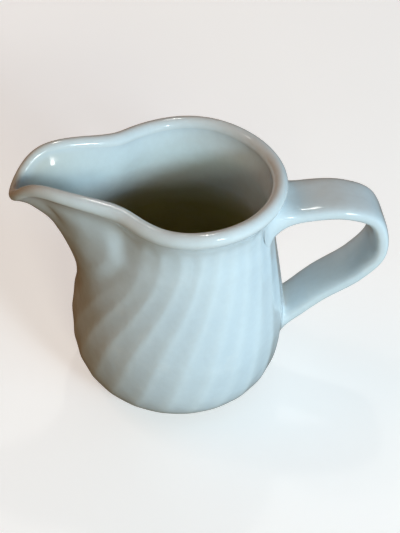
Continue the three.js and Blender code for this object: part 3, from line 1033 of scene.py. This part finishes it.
def glaze(name, thinness=0.0, has_painted_inside_and_tip=True):
    """Feldspar glaze over porcelain: pooled and bluer in the hollows, thin and whiter on the edges. The
    lip's extra whiteness is partly painted light; inside are painted light and shade, and at the spout's
    tip a painted warm reflection.
    """
    nodes = Nodes(name)
    clouds = nodes.noise(scale=38.0, detail=3.0, roughness=0.55, distortion=0.3)
    mottle = nodes.noise(scale=420.0, roughness=0.6)
    in_groove = nodes.remap(nodes.attribute("groove"), 0.15, 1.0, 0.0, 0.55)
    pooled = nodes.maths("ADD", in_groove, nodes.remap(clouds, 0.42, 0.68, 0.0, 0.4))
    colour = nodes.mix(pooled, (*GLAZE_WHITE, 1.0), (*GLAZE_POOLED, 1.0))
    patches = nodes.noise(scale=90.0, detail=4.0, roughness=0.6)
    thin = nodes.remap(patches, 0.55, 0.75, thinness, thinness + 0.3)
    colour = nodes.mix(thin, colour, (*GLAZE_THIN, 1.0))
    if has_painted_inside_and_tip:
        # Painted light and shade inside: lighter and bluer just under the rim, then a dark olive painted
        # shade further down.
        depth = nodes.attribute("depth_inside")
        waver = nodes.maths("ADD", depth, nodes.remap(clouds, 0.3, 0.7, -0.02, 0.02, smooth=False))
        inside = nodes.ramp(waver, INSIDE_PAINTED_LIGHT_AND_SHADE)
        colour = nodes.mix(nodes.remap(depth, 0.0, 0.03), colour, inside)
        # Painted warm reflection at the spout's tip: full inside, a little under half strength outside.
        tip = nodes.remap(nodes.coordinate("X"), TIP_TO, TIP_FROM, 1.0, 0.0)
        painted_tip_share = nodes.remap(depth, 0.0, 0.03, 0.45, 1.0)
        colour = nodes.mix(nodes.maths("MULTIPLY", tip, painted_tip_share), colour, (*GLAZE_TIP_PAINTED_REFLECTION, 1.0), "MULTIPLY")
    colour = nodes.mix(nodes.remap(mottle, 0.35, 0.65, 0.0, 0.05), colour, (*GLAZE_MOTTLE, 1.0))
    colour = nodes.mix(specks(nodes), colour, (*GLAZE_SPECK, 1.0))
    smears = nodes.noise(scale=150.0, detail=3.0, roughness=0.6)
    roughness = nodes.remap(smears, 0.3, 0.7, 0.09, 0.17, smooth=False)
    waves = nodes.bump(nodes.noise(scale=110.0, roughness=0.45), distance=0.00035)
    peel = nodes.bump(nodes.noise(scale=900.0), distance=0.000012, normal=waves)
    coat = dict(Coat_Weight=0.35, Coat_Roughness=0.04, Coat_IOR=1.5)
    return nodes.finish(colour, roughness, peel, IOR=1.5, **coat)


BISQUE_PALE = (0.74, 0.71, 0.64)
BISQUE_WARM = (0.62, 0.585, 0.51)
BISQUE_GRAIN = (0.45, 0.41, 0.34)
BISQUE_WORN = (0.33, 0.30, 0.26)
WORN_HEIGHT = 0.0006


def bisque(name):
    """Bare fired porcelain: chalky, finely grained, greyed where it has stood on tables."""
    nodes = Nodes(name)
    grain = nodes.noise(scale=1500.0, detail=4.0, roughness=0.65)
    patches = nodes.noise(scale=160.0, detail=3.0, roughness=0.55)
    colour = nodes.mix(nodes.remap(patches, 0.35, 0.7), (*BISQUE_PALE, 1.0), (*BISQUE_WARM, 1.0))
    colour = nodes.mix(nodes.remap(grain, 0.45, 0.75, 0.0, 0.35), colour, (*BISQUE_GRAIN, 1.0))
    low = nodes.remap(nodes.coordinate("Z"), 0.0, WORN_HEIGHT, 1.0, 0.0)
    scuffs = nodes.noise(scale=300.0, detail=4.0, roughness=0.7)
    worn = nodes.maths("MULTIPLY", low, nodes.remap(scuffs, 0.35, 0.65, 0.15, 0.6))
    colour = nodes.mix(worn, colour, (*BISQUE_WORN, 1.0))
    roughness = nodes.remap(worn, 0.0, 0.6, 0.82, 0.6, smooth=False)
    rough = nodes.bump(grain, distance=0.00006)
    return nodes.finish(colour, roughness, rough, IOR=1.45, Specular_IOR_Level=0.3)


def pale_floor(name):
    """Matt and pale. In the glaze it is reflected as the darker, warmer table that such a jug stands on."""
    nodes = Nodes(name)
    patches = nodes.remap(nodes.noise(scale=6.0), 0.3, 0.7, 0.0, 0.5)
    shade = nodes.mix(patches, FLOOR_COLOUR, FLOOR_COLOUR_WORN)
    seen = nodes.add("BsdfDiffuse")
    nodes.feed(seen.inputs["Color"], shade)
    glow = nodes.add("Emission")
    nodes.feed(glow.inputs["Color"], shade)
    glow.inputs["Strength"].default_value = FLOOR_GLOW
    both = nodes.add("AddShader")
    nodes.feed(both.inputs[0], seen.outputs["BSDF"])
    nodes.feed(both.inputs[1], glow.outputs["Emission"])
    table = nodes.add("BsdfDiffuse")
    table.inputs["Color"].default_value = TABLE_COLOUR
    choice = nodes.add("MixShader")
    nodes.feed(choice.inputs["Fac"], nodes.add("LightPath").outputs["Is Camera Ray"])
    nodes.feed(choice.inputs[1], table.outputs["BSDF"])
    nodes.feed(choice.inputs[2], both.outputs["Shader"])
    nodes.feed(nodes.output.inputs["Surface"], choice.outputs["Shader"])
    return nodes.material


# --------------------------------------------------
# Stage, lights and camera
# --------------------------------------------------
FLOOR_HALF_SIZE = 2.5
FLOOR_DROP = 0.00002
FLOOR_COLOUR = (0.86, 0.86, 0.86, 1.0)
FLOOR_COLOUR_WORN = (0.84, 0.84, 0.835, 1.0)
FLOOR_GLOW = 0.5
TABLE_COLOUR = (0.30, 0.22, 0.13, 1.0)
WORLD_COLOUR = (0.80, 0.80, 0.80, 1.0)
WORLD_STRENGTH = 0.02


def build_floor():
    half = FLOOR_HALF_SIZE
    mesh = bpy.data.meshes.new("floor")
    corners = [(-half, -half, 0), (half, -half, 0), (half, half, 0), (-half, half, 0)]
    mesh.from_pydata(corners, [], [(0, 1, 2, 3)])
    mesh.materials.append(pale_floor("floor_pale"))
    floor = bpy.data.objects.new("floor", mesh)
    floor.location.z = -FLOOR_DROP
    bpy.context.scene.collection.objects.link(floor)


# Softboxes one metre from the jug: azimuth and elevation in degrees, size in metres, power, colour,
# and whether the glaze mirrors it.
SOFTBOXES = {
    "key": (36, 22, 0.2, 2.6, (0.58, 0.83, 1.0), False),
    "glint": (30, 21, 0.14, 2.5, (0.78, 0.92, 1.0), True),
    "front": (8, 23, 0.2, 2.25, (1.0, 0.98, 0.80), False),
    "side": (56, 8, 0.32, 3.7, (0.50, 0.78, 1.0), False),
    "left": (-105, 50, 0.7, 1.5, (1.0, 0.36, 0.04), False),
    "rear": (178, 12, 0.9, 3.0, (1.0, 0.96, 0.90), False),
    "lamp": (173, 60, 0.04, 0.60, (1.0, 0.98, 0.92), True),
    "far_lamp": (-118, 56, 0.045, 0.35, (1.0, 0.98, 0.94), True),
    "low_lamp": (46, 5, 0.03, 0.25, (1.0, 0.98, 0.94), True),
}
AIM_HEIGHT = 0.05


def direction(azimuth, elevation):
    a, e = math.radians(azimuth), math.radians(elevation)
    return Vector((math.sin(a) * math.cos(e), -math.cos(a) * math.cos(e), math.sin(e)))


def build_lights():
    middle = Vector((0.0, 0.0, AIM_HEIGHT))
    for name, (azimuth, elevation, size, power, colour, mirrored) in SOFTBOXES.items():
        light = bpy.data.lights.new(name, "AREA")
        light.shape = "SQUARE"
        light.size = size
        light.energy = power
        light.color = colour
        item = bpy.data.objects.new(name, light)
        item.location = middle + direction(azimuth, elevation)
        item.rotation_mode = "QUATERNION"
        item.rotation_quaternion = (-direction(azimuth, elevation)).to_track_quat("-Z", "Y")
        item.visible_glossy = mirrored
        bpy.context.scene.collection.objects.link(item)
    world = bpy.data.worlds.new("studio")
    world.use_nodes = True
    background = world.node_tree.nodes["Background"]
    background.inputs["Color"].default_value = WORLD_COLOUR
    background.inputs["Strength"].default_value = WORLD_STRENGTH
    bpy.context.scene.world = world


CAMERA_LENS = 72.7
CAMERA_DISTANCE = 0.39631
CAMERA_ELEVATION = 42.06
CAMERA_AZIMUTH = -7.64
CAMERA_ROLL = math.radians(4.18)
CAMERA_AIM_ACROSS = 0.00733
CAMERA_AIM_HEIGHT = 0.04947


def build_camera():
    azimuth = math.radians(CAMERA_AZIMUTH)
    back = direction(CAMERA_AZIMUTH, CAMERA_ELEVATION)
    right = Vector((math.cos(azimuth), math.sin(azimuth), 0.0))
    up = back.cross(right)
    rolled_right = math.cos(CAMERA_ROLL) * right + math.sin(CAMERA_ROLL) * up
    rolled_up = math.cos(CAMERA_ROLL) * up - math.sin(CAMERA_ROLL) * right
    target = Vector((AXIS[0], 0.0, CAMERA_AIM_HEIGHT)) + CAMERA_AIM_ACROSS * right
    camera = bpy.data.cameras.new("camera")
    camera.sensor_fit = "AUTO"
    camera.sensor_width = 36.0
    camera.lens = CAMERA_LENS
    camera.clip_start = 0.01
    camera.clip_end = 20.0
    item = bpy.data.objects.new("camera", camera)
    turn = Matrix((rolled_right, rolled_up, back)).transposed().to_4x4()
    item.matrix_world = Matrix.Translation(target + CAMERA_DISTANCE * back) @ turn
    bpy.context.scene.collection.objects.link(item)
    bpy.context.scene.camera = item


MATERIALS = {
    "bulb": glaze("bulb_glaze"),
    "spout": glaze("spout_glaze", 0.05),
    # The lip's whiter glaze is partly thin glaze on the edge and partly painted light that brightens the
    # rim.
    "lip": glaze("lip_glaze_thin_and_painted_light", 0.6),
    "handle": glaze("handle_glaze", 0.1, has_painted_inside_and_tip=False),
    "foot": bisque("foot_bisque"),
}
build_vessel(MATERIALS)
build_handle(MATERIALS)
build_foot(MATERIALS)
build_floor()
build_lights()
build_camera()
bpy.context.scene.view_settings.view_transform = "Standard"
